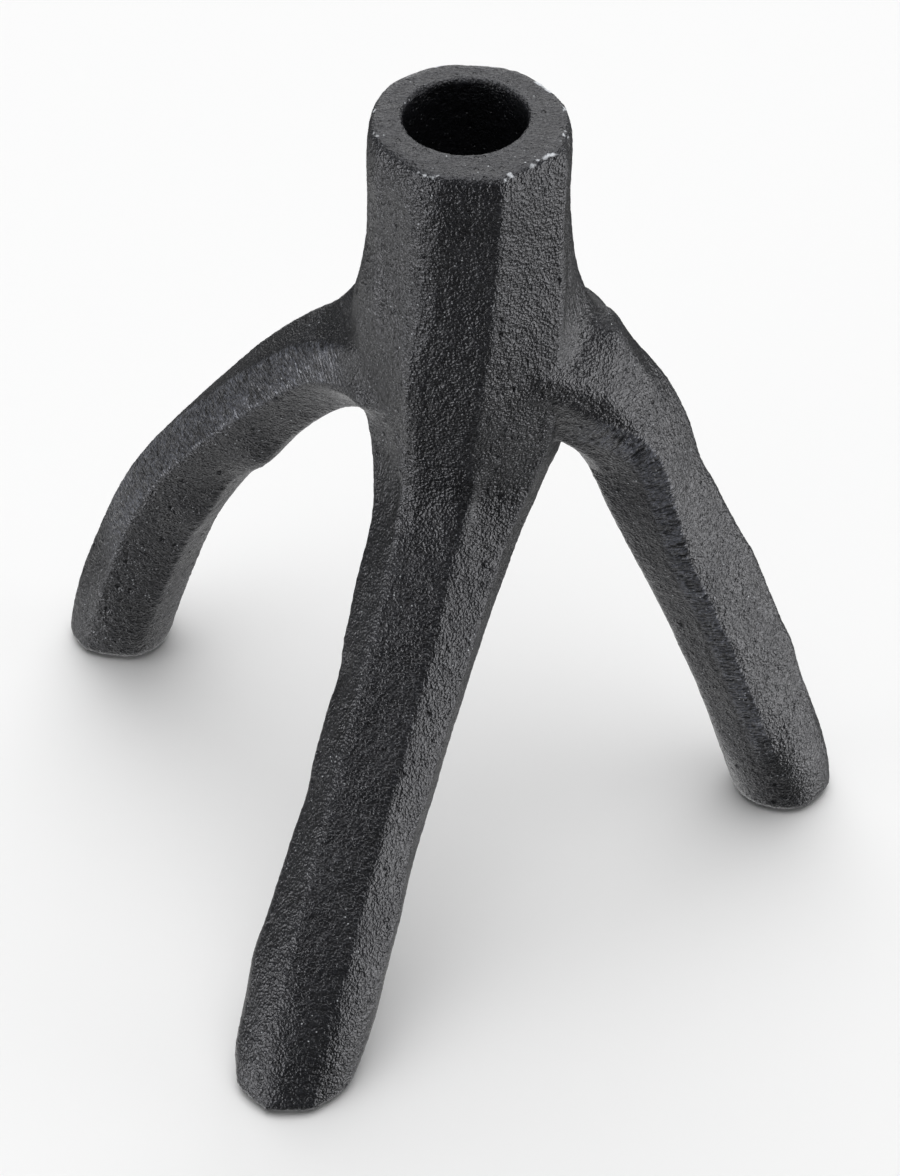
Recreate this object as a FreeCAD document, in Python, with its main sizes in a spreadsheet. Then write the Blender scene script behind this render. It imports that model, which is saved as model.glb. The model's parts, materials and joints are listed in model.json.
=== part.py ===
"""Three-legged candle holder, sand cast in aluminium, with one socket for a dinner candle.

A faceted neck runs down into the front leg like a branch, and two more bent, faceted legs
fork from it. The casting is one piece of metal: it is divided square across each leg, so that
the neck and the three legs are solids of their own that meet face to face. A round felt pad
is stuck under each foot. All sizes are in millimetres and all angles in degrees.

Frame: +Z is up, the pads stand on z = 0, -Y is the side that the front leg points to, and
the origin is the middle of the holder's footprint.
"""

import FreeCAD
import Part

import math
import os
import Sketcher

FACETS = 8

# Sizes of the whole holder and of the things that fit it.
MAIN_SIZES = {
    "overall_height": (171.0, "pads' underside to the rim"),
    "fork_height": (119.0, "pads' underside to the top of the fork"),
    "neck_at_x": (4.15, "socket's axis, from the middle of the footprint"),
    "neck_at_y": (11.9, "socket's axis, from the middle of the footprint"),
    "candle_diameter": (22.0, "dinner candle that the socket takes"),
    "candle_play": (0.25, "gap between candle and socket, on the radius"),
    "socket_depth": (24.0, "rim to the end of the socket's round wall"),
    "socket_tip_angle": (118.0, "drill point at the socket's end"),
    "pad_diameter": (14.0, "felt pad"),
    "pad_thickness": (1.5, "felt pad"),
}

# Each leg: the way it points, how far out its foot stands, the facets' corner angles (0 is the
# leg's outer side) and the station where it is divided from the neck. A station is the part of
# the foot's reach, the shift to the left of the way the leg points, the height (0 at the foot,
# 1 at the fork, 2 at the rim), the width across the leg, the depth from its outer to its inner
# side, the turn of its facets, and how much wider its first facet is. The last station is past
# the foot, which is cut off flat. The front leg starts at the rim, because the neck runs
# straight down into it.
LEGS = {
    "front": {
        "azimuth": -113.8,
        "foot_reach": 80.3,
        "facets": (39, -9, -55, -100, -144, -188, -232, -277),
        "divided_at": 8,
        "stations": (
            (0.011, 1.4, 2.00, 36.6, 36.6, 3, -5),
            (0.011, 1.4, 1.97, 37.5, 37.5, 3, -5),
            (0.011, 1.3, 1.60, 38.2, 38.2, 1, -6),
            (0.011, 1.1, 1.25, 40.2, 40.0, -3, -8),
            (0.011, 0.8, 1.00, 40.2, 40.0, -6, -8),
            (0.006, 0.3, 0.83, 36.5, 36.0, -9, -8),
            (0.077, 0.0, 0.725, 30.7, 31.0, -9, -4),
            (0.187, 0.0, 0.639, 27.7, 27.7, -8, 0),
            (0.329, 0.0, 0.526, 25.8, 25.7, -6, 4),
            (0.504, 0.0, 0.391, 24.6, 24.7, -5, 6),
            (0.680, 0.0, 0.262, 24.8, 24.7, -3, 4),
            (0.844, 0.0, 0.139, 26.4, 25.2, 0, 2),
            (0.950, 0.0, 0.046, 25.6, 24.8, 3, 0),
            (1.000, 0.0, 0.000, 23.8, 23.2, 5, 0),
            (1.060, 0.0, -0.060, 20.0, 20.0, 5, 0),
        ),
    },
    "left": {
        "azimuth": 145.5,
        "foot_reach": 89.4,
        "facets": (80, 38, -10, -58, -105, -145, -183, -218),
        "divided_at": 3,
        "stations": (
            (0.062, 0.0, 0.98, 36.0, 35.0, 22, 0),
            (0.206, 0.0, 0.925, 27.0, 25.5, 20, 0),
            (0.350, 0.0, 0.853, 22.0, 20.0, 16, 0),
            (0.515, 0.0, 0.713, 20.7, 19.4, 12, 0),
            (0.649, 0.0, 0.580, 20.4, 19.4, 8, 0),
            (0.792, 0.0, 0.414, 21.4, 20.6, 4, 0),
            (0.906, 0.0, 0.217, 22.2, 22.0, 4, 0),
            (0.970, 0.0, 0.080, 22.4, 22.4, 4, 0),
            (1.000, 0.0, 0.000, 21.6, 21.6, 4, 0),
            (1.020, 0.0, -0.060, 20.0, 20.0, 4, 0),
        ),
    },
    "right": {
        "azimuth": 4.5,
        "foot_reach": 66.0,
        "facets": (-67, -83, -130, -175, -220, -265, -310, -375),
        "divided_at": 4,
        "stations": (
            (0.105, 0.0, 1.032, 36.0, 38.0, -6, 4),
            (0.271, 0.0, 0.968, 29.0, 28.0, -6, 4),
            (0.447, 0.0, 0.860, 24.0, 23.4, -6, 2),
            (0.502, 0.0, 0.793, 23.1, 22.9, -6, 1),
            (0.542, 0.0, 0.725, 22.6, 22.5, -6, 0),
            (0.660, 0.0, 0.564, 22.2, 22.6, -6, 0),
            (0.789, 0.0, 0.381, 22.0, 22.6, -5, 0),
            (0.898, 0.0, 0.198, 22.0, 22.2, -4, 0),
            (0.970, 0.0, 0.070, 21.8, 22.2, -3, 0),
            (1.000, 0.0, 0.000, 20.6, 21.2, -3, 0),
            (1.020, 0.0, -0.060, 19.0, 19.5, -3, 0),
        ),
    },
}

BLOCK_SIDE = 90.0
BLOCK_LENGTH = 260.0


def sheet_rows():
    rows = [(name, value, note) for name, (value, note) in MAIN_SIZES.items()]
    for name, leg in LEGS.items():
        rows.append((f"{name}_azimuth", leg["azimuth"], "the way the leg points, from +X"))
        rows.append((f"{name}_foot_reach", leg["foot_reach"], "socket's axis to the foot's middle"))
        for i, angle in enumerate(leg["facets"], 1):
            rows.append((f"{name}_facet_{i}", angle, "facet corner, from the outer side"))
        for i, (out, side, up, width, depth, turn, spread) in enumerate(leg["stations"], 1):
            rows.append((f"{name}_out_{i}", out, "part of the foot's reach"))
            rows.append((f"{name}_side_{i}", side, "shift to the left"))
            rows.append((f"{name}_up_{i}", up, "height: 0 foot, 1 fork, 2 rim"))
            rows.append((f"{name}_width_{i}", width, "width across the leg"))
            rows.append((f"{name}_depth_{i}", depth, "outer side to inner side"))
            rows.append((f"{name}_turn_{i}", turn, "turn of the facets"))
            rows.append((f"{name}_spread_{i}", spread, "extra width of the first facet"))
    return rows


def fill_sheet(doc):
    """Writes every driving size to the sheet, one named cell each."""
    sheet = doc.addObject("Spreadsheet::Sheet", "dims")
    for row, (name, value, note) in enumerate(sheet_rows(), 1):
        sheet.set(f"A{row}", name)
        sheet.set(f"B{row}", str(value))
        sheet.setAlias(f"B{row}", name)
        sheet.set(f"C{row}", note)


def place_at_neck(thing, azimuth=None):
    """Puts a piece on the socket's axis, turned to a leg's azimuth."""
    start = FreeCAD.Rotation(FreeCAD.Vector(0, 0, 1), 1 if azimuth else 0)
    thing.Placement = FreeCAD.Placement(FreeCAD.Vector(), start)
    thing.setExpression("Placement.Base.x", "dims.neck_at_x")
    thing.setExpression("Placement.Base.y", "dims.neck_at_y")
    if azimuth:
        thing.setExpression("Placement.Rotation.Angle", azimuth)


def new_sketch(body, label, reach=None, side=None, height=None, tilt=None):
    """A sketch on the body's level plane, moved and tilted by its attachment."""
    level = next(f for f in body.Origin.OriginFeatures if f.Role == "XY_Plane")
    sketch = body.newObject("Sketcher::SketchObject", label)
    sketch.AttachmentSupport = [(level, "")]
    sketch.MapMode = "FlatFace"
    start = FreeCAD.Rotation(FreeCAD.Vector(0, 1, 0), -1 if tilt else 0)
    sketch.AttachmentOffset = FreeCAD.Placement(FreeCAD.Vector(), start)
    for axis, value in (("x", reach), ("y", side), ("z", height)):
        if value:
            sketch.setExpression(f"AttachmentOffset.Base.{axis}", value)
    if tilt:
        sketch.setExpression("AttachmentOffset.Rotation.Angle", tilt)
    return sketch


def bind(sketch, value, *constraint):
    """Adds a size to a sketch and drives it from the sheet."""
    index = sketch.addConstraint(Sketcher.Constraint(*constraint))
    sketch.setExpression(f"Constraints[{index}]", value)


def closed_outline(sketch, corners):
    count = len(corners)
    for k in range(count):
        sketch.addGeometry(Part.LineSegment(corners[k], corners[(k + 1) % count]))
    for k in range(count):
        sketch.addConstraint(Sketcher.Constraint("Coincident", k, 2, (k + 1) % count, 1))


def station_height(name, station):
    up = f"dims.{name}_up_{station}"
    if LEGS[name]["stations"][station - 1][2] > 1:
        return f"(dims.fork_height + (dims.overall_height - dims.fork_height) * ({up} - 1))"
    return f"(dims.pad_thickness + (dims.fork_height - dims.pad_thickness) * {up})"


def station_reach(name, station):
    return f"(dims.{name}_foot_reach * dims.{name}_out_{station})"


def station_tilt(name, station):
    """A section stands square to the line through its neighbours, and the rim is level."""
    stations = LEGS[name]["stations"]
    if stations[station - 1][2] == 2:
        return None
    above = max(1, station - 1)
    below = min(len(stations), station + 1)
    drop = f"({station_height(name, above)} - {station_height(name, below)})"
    run = f"({station_reach(name, below)} - {station_reach(name, above)})"
    return f"-atan2({run}; {drop})"


def leg_section(body, name, station):
    """A closed eight-sided section with its corners on an ellipse."""
    sketch = new_sketch(
        body,
        f"{name}_section_{station}",
        station_reach(name, station),
        f"dims.{name}_side_{station}",
        station_height(name, station),
        station_tilt(name, station),
    )
    radius = 10
    start = []
    for k in range(FACETS):
        angle = -2 * math.pi * k / FACETS
        start.append(FreeCAD.Vector(radius * math.cos(angle), radius * math.sin(angle)))
    closed_outline(sketch, start)
    for k in range(FACETS):
        spread = f"{(0.5, -0.5, 0)[min(k, 2)]} * dims.{name}_spread_{station}"
        turned = f"dims.{name}_facet_{k + 1} + dims.{name}_turn_{station}"
        angle = f"(({turned} + {spread}) * 1deg)"
        depth = f"dims.{name}_depth_{station} / 2 * cos{angle}"
        width = f"dims.{name}_width_{station} / 2 * sin{angle}"
        bind(sketch, depth, "DistanceX", -1, 1, k, 1, start[k].x)
        bind(sketch, width, "DistanceY", -1, 1, k, 1, start[k].y)
    return sketch


def leg_blank(doc, name):
    """A whole leg, from inside the neck (the front leg: from the rim) to past its foot."""
    body = doc.addObject("PartDesign::Body", f"{name}_leg_blank")
    place_at_neck(body, f"dims.{name}_azimuth")
    count = len(LEGS[name]["stations"])
    sections = [leg_section(body, name, i) for i in range(1, count + 1)]
    loft = body.newObject("PartDesign::AdditiveLoft", f"{name}_loft")
    loft.Profile = sections[0]
    loft.Sections = sections[1:]
    return body


def leg_block(doc, name):
    """A block that holds everything past the station where a leg is divided from the neck."""
    station = LEGS[name]["divided_at"]
    body = doc.addObject("PartDesign::Body", f"{name}_block")
    place_at_neck(body, f"dims.{name}_azimuth")
    sketch = new_sketch(
        body,
        f"{name}_block_outline",
        reach=station_reach(name, station),
        height=station_height(name, station),
        tilt=station_tilt(name, station),
    )
    square = ((-1, -1), (1, -1), (1, 1), (-1, 1))
    closed_outline(sketch, [FreeCAD.Vector(x * BLOCK_SIDE, y * BLOCK_SIDE) for x, y in square])
    block = body.newObject("PartDesign::Pad", f"{name}_block_pad")
    block.Profile = sketch
    block.Length = BLOCK_LENGTH
    block.Reversed = True
    return body


def ground_block(doc):
    """A block that holds everything below the flat feet."""
    box = doc.addObject("Part::Box", "ground_block")
    box.Length = 4 * BLOCK_SIDE
    box.Width = 4 * BLOCK_SIDE
    box.Height = BLOCK_SIDE
    box.Placement.Base = FreeCAD.Vector(-2 * BLOCK_SIDE, -2 * BLOCK_SIDE, 0)
    box.setExpression("Placement.Base.z", f"dims.pad_thickness - {BLOCK_SIDE}")
    return box


def socket_tool(doc):
    """The shape of the candle's socket: a round blind hole with a drill point."""
    radius = "dims.candle_diameter / 2 + dims.candle_play"
    wall_end = "dims.overall_height - dims.socket_depth"
    bore = doc.addObject("Part::Cylinder", "socket_bore")
    place_at_neck(bore)
    bore.setExpression("Placement.Base.z", wall_end)
    bore.setExpression("Radius", radius)
    bore.setExpression("Height", "dims.socket_depth + 1")
    tip = doc.addObject("Part::Cone", "socket_tip")
    place_at_neck(tip)
    tip_height = f"({radius}) / tan(dims.socket_tip_angle / 2 * 1deg)"
    tip.Radius1 = 0
    tip.setExpression("Radius2", radius)
    tip.setExpression("Height", tip_height)
    tip.setExpression("Placement.Base.z", f"{wall_end} - {tip_height}")
    tool = doc.addObject("Part::MultiFuse", "socket_tool")
    tool.Shapes = [bore, tip]
    return tool


def boolean(doc, kind, label, base, tool):
    result = doc.addObject(kind, label)
    result.Base = base
    result.Tool = tool
    return result


def foot_pad(doc, name):
    """A round felt pad, stuck to the middle of a foot."""
    body = doc.addObject("PartDesign::Body", f"{name}_foot_pad")
    place_at_neck(body, f"dims.{name}_azimuth")
    sketch = new_sketch(body, f"{name}_pad_outline", reach=f"dims.{name}_foot_reach")
    sketch.addGeometry(Part.Circle(FreeCAD.Vector(), FreeCAD.Vector(0, 0, 1), 5))
    sketch.addConstraint(Sketcher.Constraint("Coincident", 0, 3, -1, 1))
    bind(sketch, "dims.pad_diameter", "Diameter", 0, 10)
    felt = body.newObject("PartDesign::Pad", f"{name}_felt")
    felt.Profile = sketch
    felt.setExpression("Length", "dims.pad_thickness")
    return body


def build():
    doc = FreeCAD.newDocument("candle_holder")
    fill_sheet(doc)
    doc.recompute()
    ground = ground_block(doc)
    pieces = {}
    stubs = []
    for name in LEGS:
        blank = leg_blank(doc, name)
        block = leg_block(doc, name)
        shank = boolean(doc, "Part::Common", f"{name}_shank", blank, block)
        pieces[f"{name}_leg"] = boolean(doc, "Part::Cut", f"{name}_leg", shank, ground)
        stubs.append(boolean(doc, "Part::Cut", f"{name}_stub", blank, block))
        pieces[f"{name}_foot_pad"] = foot_pad(doc, name)
    fork = doc.addObject("Part::MultiFuse", "fork")
    fork.Shapes = stubs
    pieces["neck"] = boolean(doc, "Part::Cut", "neck", fork, socket_tool(doc))
    doc.recompute()
    return doc, pieces


def check(doc, pieces):
    """Stops if an object failed, or if a piece is not one sound solid."""
    failed = [o.Name for o in doc.Objects if {"Invalid", "Error"} & set(o.State)]
    if failed:
        raise RuntimeError(f"these objects failed: {failed}")
    for name, piece in pieces.items():
        shape = piece.Shape
        if shape.isNull() or not shape.isValid() or len(shape.Solids) != 1:
            raise RuntimeError(f"{name} is not one valid solid")


def main():
    doc, pieces = build()
    check(doc, pieces)
    os.makedirs("parts", exist_ok=True)
    for name, piece in pieces.items():
        piece.Shape.exportStep(os.path.join("parts", f"{name}.step"))
        box = piece.Shape.BoundBox
        print(f"{name}: {piece.Shape.Volume / 1000:.1f} cm3, z {box.ZMin:.1f} to {box.ZMax:.1f}")


main()
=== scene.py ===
import json
import math

import bmesh
import bpy
import numpy as np
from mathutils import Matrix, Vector, kdtree


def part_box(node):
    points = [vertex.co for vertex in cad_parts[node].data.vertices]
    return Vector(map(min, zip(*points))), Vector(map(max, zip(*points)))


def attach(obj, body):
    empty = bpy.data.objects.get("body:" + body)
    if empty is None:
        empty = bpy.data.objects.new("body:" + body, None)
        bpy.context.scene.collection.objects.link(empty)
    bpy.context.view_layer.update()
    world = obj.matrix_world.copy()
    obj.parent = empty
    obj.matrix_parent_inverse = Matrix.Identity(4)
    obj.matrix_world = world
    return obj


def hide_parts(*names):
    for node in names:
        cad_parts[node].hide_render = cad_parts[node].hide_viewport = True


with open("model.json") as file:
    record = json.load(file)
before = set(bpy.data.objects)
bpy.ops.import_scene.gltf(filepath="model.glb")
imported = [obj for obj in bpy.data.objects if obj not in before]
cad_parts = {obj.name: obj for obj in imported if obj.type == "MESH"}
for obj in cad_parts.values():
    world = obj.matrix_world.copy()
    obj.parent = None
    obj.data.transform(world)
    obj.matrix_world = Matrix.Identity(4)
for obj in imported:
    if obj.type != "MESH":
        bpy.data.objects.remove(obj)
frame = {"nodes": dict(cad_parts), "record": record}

bl_info = {
    "name": "Cast Candle Holder",
    "version": (1, 0, 0),
    "blender": (4, 5, 0),
    "location": "3D View > Sidebar > Candle Holder",
    "description": "Builds a sand-cast, three-legged candle holder around its frame",
    "category": "Add Mesh",
}

MM = 0.001
UP = np.array((0.0, 0.0, 1.0))
CASTING_NODES = ("neck", "front_leg", "left_leg", "right_leg")
LEGS = ("front", "left", "right")
SOCKET = next(m for m in frame["record"]["mounts"] if m["name"] == "candle_socket")
SOCKET_RADIUS = SOCKET["dims"]["r_mm"] * MM
SOCKET_AXIS = np.array((SOCKET["pos_m"][0], SOCKET["pos_m"][1], 0.0))
SOCKET_WALL = SOCKET["dims"]["length_mm"] * MM
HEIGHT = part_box("neck")[1].z
SOLE_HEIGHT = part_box("front_leg")[0].z

# The bands that were ground flat by hand on the side legs: ways along the leg in mm, from the
# neck's axis, the angles of the band's two edges round the leg at each way, in degrees from its
# outer side, and how far the grinder's marks lean along the leg, in mm for each degree round it.
GROUND_BANDS = {
    "left": {
        "along": (16, 30, 90, 126),
        "from": (54, 54, 21, 20),
        "to": (92, 91, 77, 83),
        "lean": -0.09,
    },
    "right": {
        "along": (16, 22, 62, 122),
        "from": (-78, -80, -107, -108),
        "to": (-52, -54, -86, -88),
        "lean": 0.067,
    },
}

# Corners of the side legs' outlines: at each way along the leg in mm, the angle of every
# corner round it in degrees. The flats of the casting lie between them. A corner stands
# CORNER_LIFT times as far out as the leg's rounded outline there.
CORNERS = {
    "left": (
        (30, (-60, 5, 54, 91, 150, 205, 250)),
        (90, (-60, -22, 21, 77, 150, 205, 250)),
        (130, (-60, -22, 20, 83, 150, 205, 250)),
    ),
    "right": (
        (22, (-150, -80, -54, 5, 60, 110, 160)),
        (62, (-150, -107, -86, -8, 50, 100, 155)),
        (110, (-150, -108, -88, -8, 50, 100, 155)),
    ),
}
CORNER_LIFT = 1.045

# Heights on the front limb: the socket's wall is left alone above BORE_FROM, the neck's own
# rounding starts above NECK_FROM and comes in over NECK_FADE, and the leg's goes out over
# LEG_FADE. The bend at FORK_HEIGHT is smoothed out over FORK_REACH. SOCKET_MARGIN is the metal
# round the socket that isn't moved.
BORE_FROM = 120 * MM
NECK_FROM = 105 * MM
NECK_FADE = (120 * MM, 138 * MM)
LEG_FADE = (78 * MM, 92 * MM)
FORK_HEIGHT = 104 * MM
FORK_REACH = 13 * MM
SOCKET_MARGIN = 1 * MM

# Room kept free of fillets below the socket's wall, for the drill's point.
POINT_ROOM = 8.2 * MM

# How much of the way to its rounded outline a leg goes, and how much more its foot does, which
# comes in from FOOT_LENGTH to FOOT_END, in mm from the leg's end.
LEG_ROUNDING = 0.15
FOOT_ROUNDING = 0.8
FOOT_LENGTH = 34
FOOT_END = 6

# Where the neck's outline stands out from its octagon at the rim, or stays inside it: the angle
# from the front, its half-width in degrees and the height in mm.
RIM_SWELLS = ((-115, 32, 1.1), (146, 26, -0.5))

# The painted highlight along the rim's outer edge: how far from the middle of the rim it lies.
RIM_HIGHLIGHT_FROM = SOCKET_RADIUS + 3 * MM
RIM_HIGHLIGHT_TO = SOCKET_RADIUS + 9 * MM

# Cells of the outline tables, in mm along a limb and degrees round it, the angle that their
# corners are smoothed over, and the way along that the bend at the fork is averaged over.
ROW_STEP = 2.0
COLUMN_STEP = 3.0
COLUMNS = 120
ROUNDING_ANGLE = 15.0
CALM_ROWS = 15

# Knocks and flats left by the mould and by handling: the limb, the way along it from its top
# and round it from its outer side, how wide and how deep, in mm and degrees. A negative depth
# is a lump.
KNOCKS = (
    ("left", 20, 0, 9.0, -1.9),
    ("right", 20, 0, 7.0, -1.7),
    ("front", 33, -59, 10.0, -1.0),
    ("front", 40, -88, 9.0, -1.6),
    ("left", 13, 22, 8.0, -1.5),
    ("front", 34, 128, 8.0, -1.3),
    ("right", 46, 8, 14.0, 0.6),
    ("right", 21, -147, 7.0, -0.9),
    ("left", 14, 97, 5.0, -1.2),
    ("front", 88, -103, 12.0, 0.7),
    ("front", 117, -52, 6.0, 0.7),
    ("front", 141, -59, 7.0, 0.5),
    ("front", 172, -64, 9.0, -0.5),
    ("front", 188, -50, 8.0, -0.7),
    ("front", 160, 88, 10.0, -0.5),
    ("front", 144, 86, 8.0, 0.4),
    ("left", 68, 147, 9.0, -1.1),
    ("left", 82, 152, 8.0, 0.7),
    ("left", 97, 150, 8.0, -0.6),
    ("right", 52, -10, 6.0, -0.5),
    ("right", 73, -20, 6.0, -0.4),
    ("right", 98, -8, 8.0, -0.5),
)

# Faces round a felt pad, rings across its underside and steps round its pressed edge.
PAD_SEGMENTS = 96
PAD_RINGS = 12
EDGE_STEPS = 4

# Half the floor's width, in m.
FLOOR_HALF = 3.0

# The studio's soft lights: direction from the casting (azimuth and elevation in degrees), the
# half-angles of their even middle and of their faded edge, and their strength.
SOFTBOXES = (
    (-4, -14, 12, 40, 4.3),
    (204, -10, 12, 34, 5.6),
    (140, -48, 6, 28, 0.6),
    (90, 28, 16, 50, 1.6),
    (0, 90, 6, 41, 3.05),
    (110, -76, 10, 42, 0.9),
)


# ---------------------------------------------------------------------------------------------
# Sizes and colours


def size(name, description, millimetres, **limits):
    """A setting that is a length."""
    return bpy.props.FloatProperty(
        name=name, description=description, default=millimetres * MM, unit="LENGTH", precision=5,
        **limits)


def colour_of(name, description, default):
    """A setting that is a colour, as linear red, green, blue."""
    return bpy.props.FloatVectorProperty(
        name=name, description=description, subtype="COLOR", size=3, min=0, max=1,
        default=default)


class CastingSettings(bpy.types.PropertyGroup):
    voxel: size("Mesh size", "Edge length of the finished mesh", 0.49, min=0.2 * MM)
    form_voxel: size(
        "Fillet mesh size", "Edge length of the mesh that the fillets are made on", 1.0, min=0.4 * MM)
    crotch_fillet: size("Crotch fillet", "Radius where the legs part, on their undersides", 3.0)
    shoulder_fillet: size(
        "Shoulder fillet", "Radius between the neck and the side legs' tops", 11.0)
    shoulder_from: size("Shoulder starts", "Height that the shoulder fillets start at", 116.0)
    shoulder_to: size("Shoulder ends", "Height that the shoulder fillets end at", 158.0)
    softening: bpy.props.IntProperty(
        name="Edge softening", description="How many times the facets' edges are smoothed",
        default=5, min=0)
    swell: size("Swell", "Outward shift that makes up for the smoothed edges", 0.15)
    lump_height: size("Lump height", "Height of the broad unevenness of the sand mould", 0.55)
    lump_size: size("Lump size", "Width of one lump", 13.0)
    grain_height: size("Grain height", "Height of the grain that the sand leaves", 0.2)
    grain_size: size("Grain size", "Width of one grain", 1.5)
    pit_depth: size("Pit depth", "Depth of the larger pits", 0.35)
    pit_size: size("Pit spacing", "Distance from one pit to the next", 2.6)
    groove_depth: size("Groove depth", "Depth of the grinder's marks", 0.11)
    groove_size: size("Groove spacing", "Distance from one grinder's mark to the next", 1.1)
    coat: colour_of("Coat", "Colour of the black coat", (0.006, 0.0063, 0.0074))
    roughness: bpy.props.FloatProperty(
        name="Roughness", description="Roughness of the coat", default=0.32, min=0, max=1)


class FeltSettings(bpy.types.PropertyGroup):
    edge_radius: size("Edge radius", "Rounding of the pad's pressed edge", 0.4)
    colour: colour_of("Felt", "Colour of the felt", (0.012, 0.012, 0.013))


class StageSettings(bpy.types.PropertyGroup):
    floor: colour_of("Floor", "Colour of the floor", (0.85, 0.85, 0.85))
    fill: bpy.props.FloatProperty(
        name="Fill", description="Strength of the even light from all round", default=0.1, min=0)
    camera_place: bpy.props.FloatVectorProperty(
        name="Camera", description="Place of the camera from the foot of the socket's axis",
        subtype="TRANSLATION", size=3, default=(-2.73 * MM, -569.16 * MM, 578.49 * MM))
    camera_pitch: bpy.props.FloatProperty(
        name="Camera pitch", description="Angle that the camera looks down by",
        subtype="ANGLE", default=math.radians(42.416))
    lens: bpy.props.FloatProperty(
        name="Lens", description="Focal length on a 36 mm frame", default=120.77, min=10)


# ---------------------------------------------------------------------------------------------
# Small helpers


def linear(hex_colour):
    """An sRGB hex colour as linear red, green, blue."""
    parts = [int(hex_colour[i:i + 2], 16) / 255 for i in (1, 3, 5)]
    return tuple(c / 12.92 if c <= 0.04045 else ((c + 0.055) / 1.055) ** 2.4 for c in parts)


def add(tree, kind, settings=None, **links):
    """Adds a node. settings set its properties, and links set its sockets, to a value or to
    another socket. A socket is named by its key in lower case, or by its number as n0, n1..."""
    node = tree.nodes.new(kind)
    for key, value in (settings or {}).items():
        setattr(node, key, value)
    for key, value in links.items():
        if key[0] == "n" and key[1:].isdigit():
            socket = node.inputs[int(key[1:])]
        else:
            socket = next(s for s in node.inputs
                          if s.enabled and s.name.lower().replace(" ", "_") == key)
        if isinstance(value, bpy.types.NodeSocket):
            tree.links.new(value, socket)
        else:
            socket.default_value = value
    return node


def new_object(name, mesh):
    obj = bpy.data.objects.new(name, mesh)
    bpy.context.scene.collection.objects.link(obj)
    return obj


def points_of(mesh):
    flat = np.empty(len(mesh.vertices) * 3, np.float32)
    mesh.vertices.foreach_get("co", flat)
    return flat.reshape(-1, 3).astype(float)


def normals_of(mesh):
    flat = np.empty(len(mesh.vertices) * 3, np.float32)
    mesh.vertex_normals.foreach_get("vector", flat)
    return flat.reshape(-1, 3).astype(float)


def move_points(mesh, points):
    mesh.vertices.foreach_set("co", points.astype(np.float32).ravel())
    mesh.update()


def store(mesh, name, values):
    """Writes one number for each point as a named attribute."""
    attribute = mesh.attributes.new(name, "FLOAT", "POINT")
    attribute.data.foreach_set("value", np.ascontiguousarray(values, np.float32))


def bake_modifiers(obj):
    """Turns the evaluated object into its plain mesh and removes its modifiers."""
    depsgraph = bpy.context.evaluated_depsgraph_get()
    mesh = bpy.data.meshes.new_from_object(
        obj.evaluated_get(depsgraph), preserve_all_data_layers=True, depsgraph=depsgraph)
    obj.modifiers.clear()
    obj.data = mesh


def voxel_remesh(obj, size):
    """Replaces the mesh with one even skin round all of its closed shells."""
    modifier = obj.modifiers.new("remesh", "REMESH")
    modifier.mode = "VOXEL"
    modifier.voxel_size = size
    modifier.use_smooth_shade = True
    bake_modifiers(obj)


def smoothstep(low, high, value):
    share = np.clip((value - low) / (high - low), 0, 1)
    return share * share * (3 - 2 * share)


# ---------------------------------------------------------------------------------------------
# The casting's form


def joined(meshes):
    """One mesh of all the given closed meshes, each welded by itself."""
    whole = bmesh.new()
    for mesh in meshes:
        part = bmesh.new()
        part.from_mesh(mesh)
        bmesh.ops.remove_doubles(part, verts=part.verts, dist=0.001 * MM)
        welded = bpy.data.meshes.new("welded")
        part.to_mesh(welded)
        part.free()
        whole.from_mesh(welded)
        bpy.data.meshes.remove(welded)
    result = bpy.data.meshes.new("joined")
    whole.to_mesh(result)
    whole.free()
    return result


def cut_plane(mesh, point, normal):
    """Cuts a closed mesh on a plane, takes away the side that the normal points to and closes
    the cut."""
    bm = bmesh.new()
    bm.from_mesh(mesh)
    cut = bmesh.ops.bisect_plane(
        bm, geom=bm.verts[:] + bm.edges[:] + bm.faces[:], plane_co=point, plane_no=normal,
        clear_outer=True)
    edges = [e for e in cut["geom_cut"] if isinstance(e, bmesh.types.BMEdge)]
    bmesh.ops.edgenet_fill(bm, edges=edges)
    bm.to_mesh(mesh)
    bm.free()
    mesh.update()


def socket_cylinder(radius, low, high):
    """A closed cylinder on the socket's axis."""
    bm = bmesh.new()
    bmesh.ops.create_cone(
        bm, cap_ends=True, segments=96, radius1=radius, radius2=radius, depth=high - low)
    bmesh.ops.translate(bm, verts=bm.verts, vec=(SOCKET_AXIS[0], SOCKET_AXIS[1], (low + high) / 2))
    mesh = bpy.data.meshes.new("cylinder")
    bm.to_mesh(mesh)
    bm.free()
    return mesh


def filled_corners(meshes, radius, size):
    """The joined meshes with their hollow corners filled to a radius: they are grown by the
    radius, joined up and shrunk back, as a ball rolled along them would leave them."""
    obj = new_object("fillets", joined(meshes))
    voxel_remesh(obj, size)
    for step in (radius, -radius):
        mesh = obj.data
        move_points(mesh, points_of(mesh) + normals_of(mesh) * step)
        if step > 0:
            voxel_remesh(obj, size)
    mesh = obj.data
    move_points(mesh, points_of(mesh) - normals_of(mesh) * 0.1 * MM)
    bpy.data.objects.remove(obj)
    return mesh


def cut_to(mesh, *planes):
    """A copy of a closed mesh, cut to the given planes."""
    part = mesh.copy()
    for point, normal in planes:
        cut_plane(part, Vector(point), Vector(normal))
    return part


def level_middle(bm, height):
    """Middle of a node's level section."""
    copy = bm.copy()
    cut = bmesh.ops.bisect_plane(
        copy, geom=copy.verts[:] + copy.edges[:] + copy.faces[:],
        plane_co=(0, 0, height), plane_no=(0, 0, 1))
    points = np.array([v.co for v in cut["geom_cut"] if isinstance(v, bmesh.types.BMVert)])
    copy.free()
    return np.append((points.min(0) + points.max(0))[:2] / 2, height)


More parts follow.
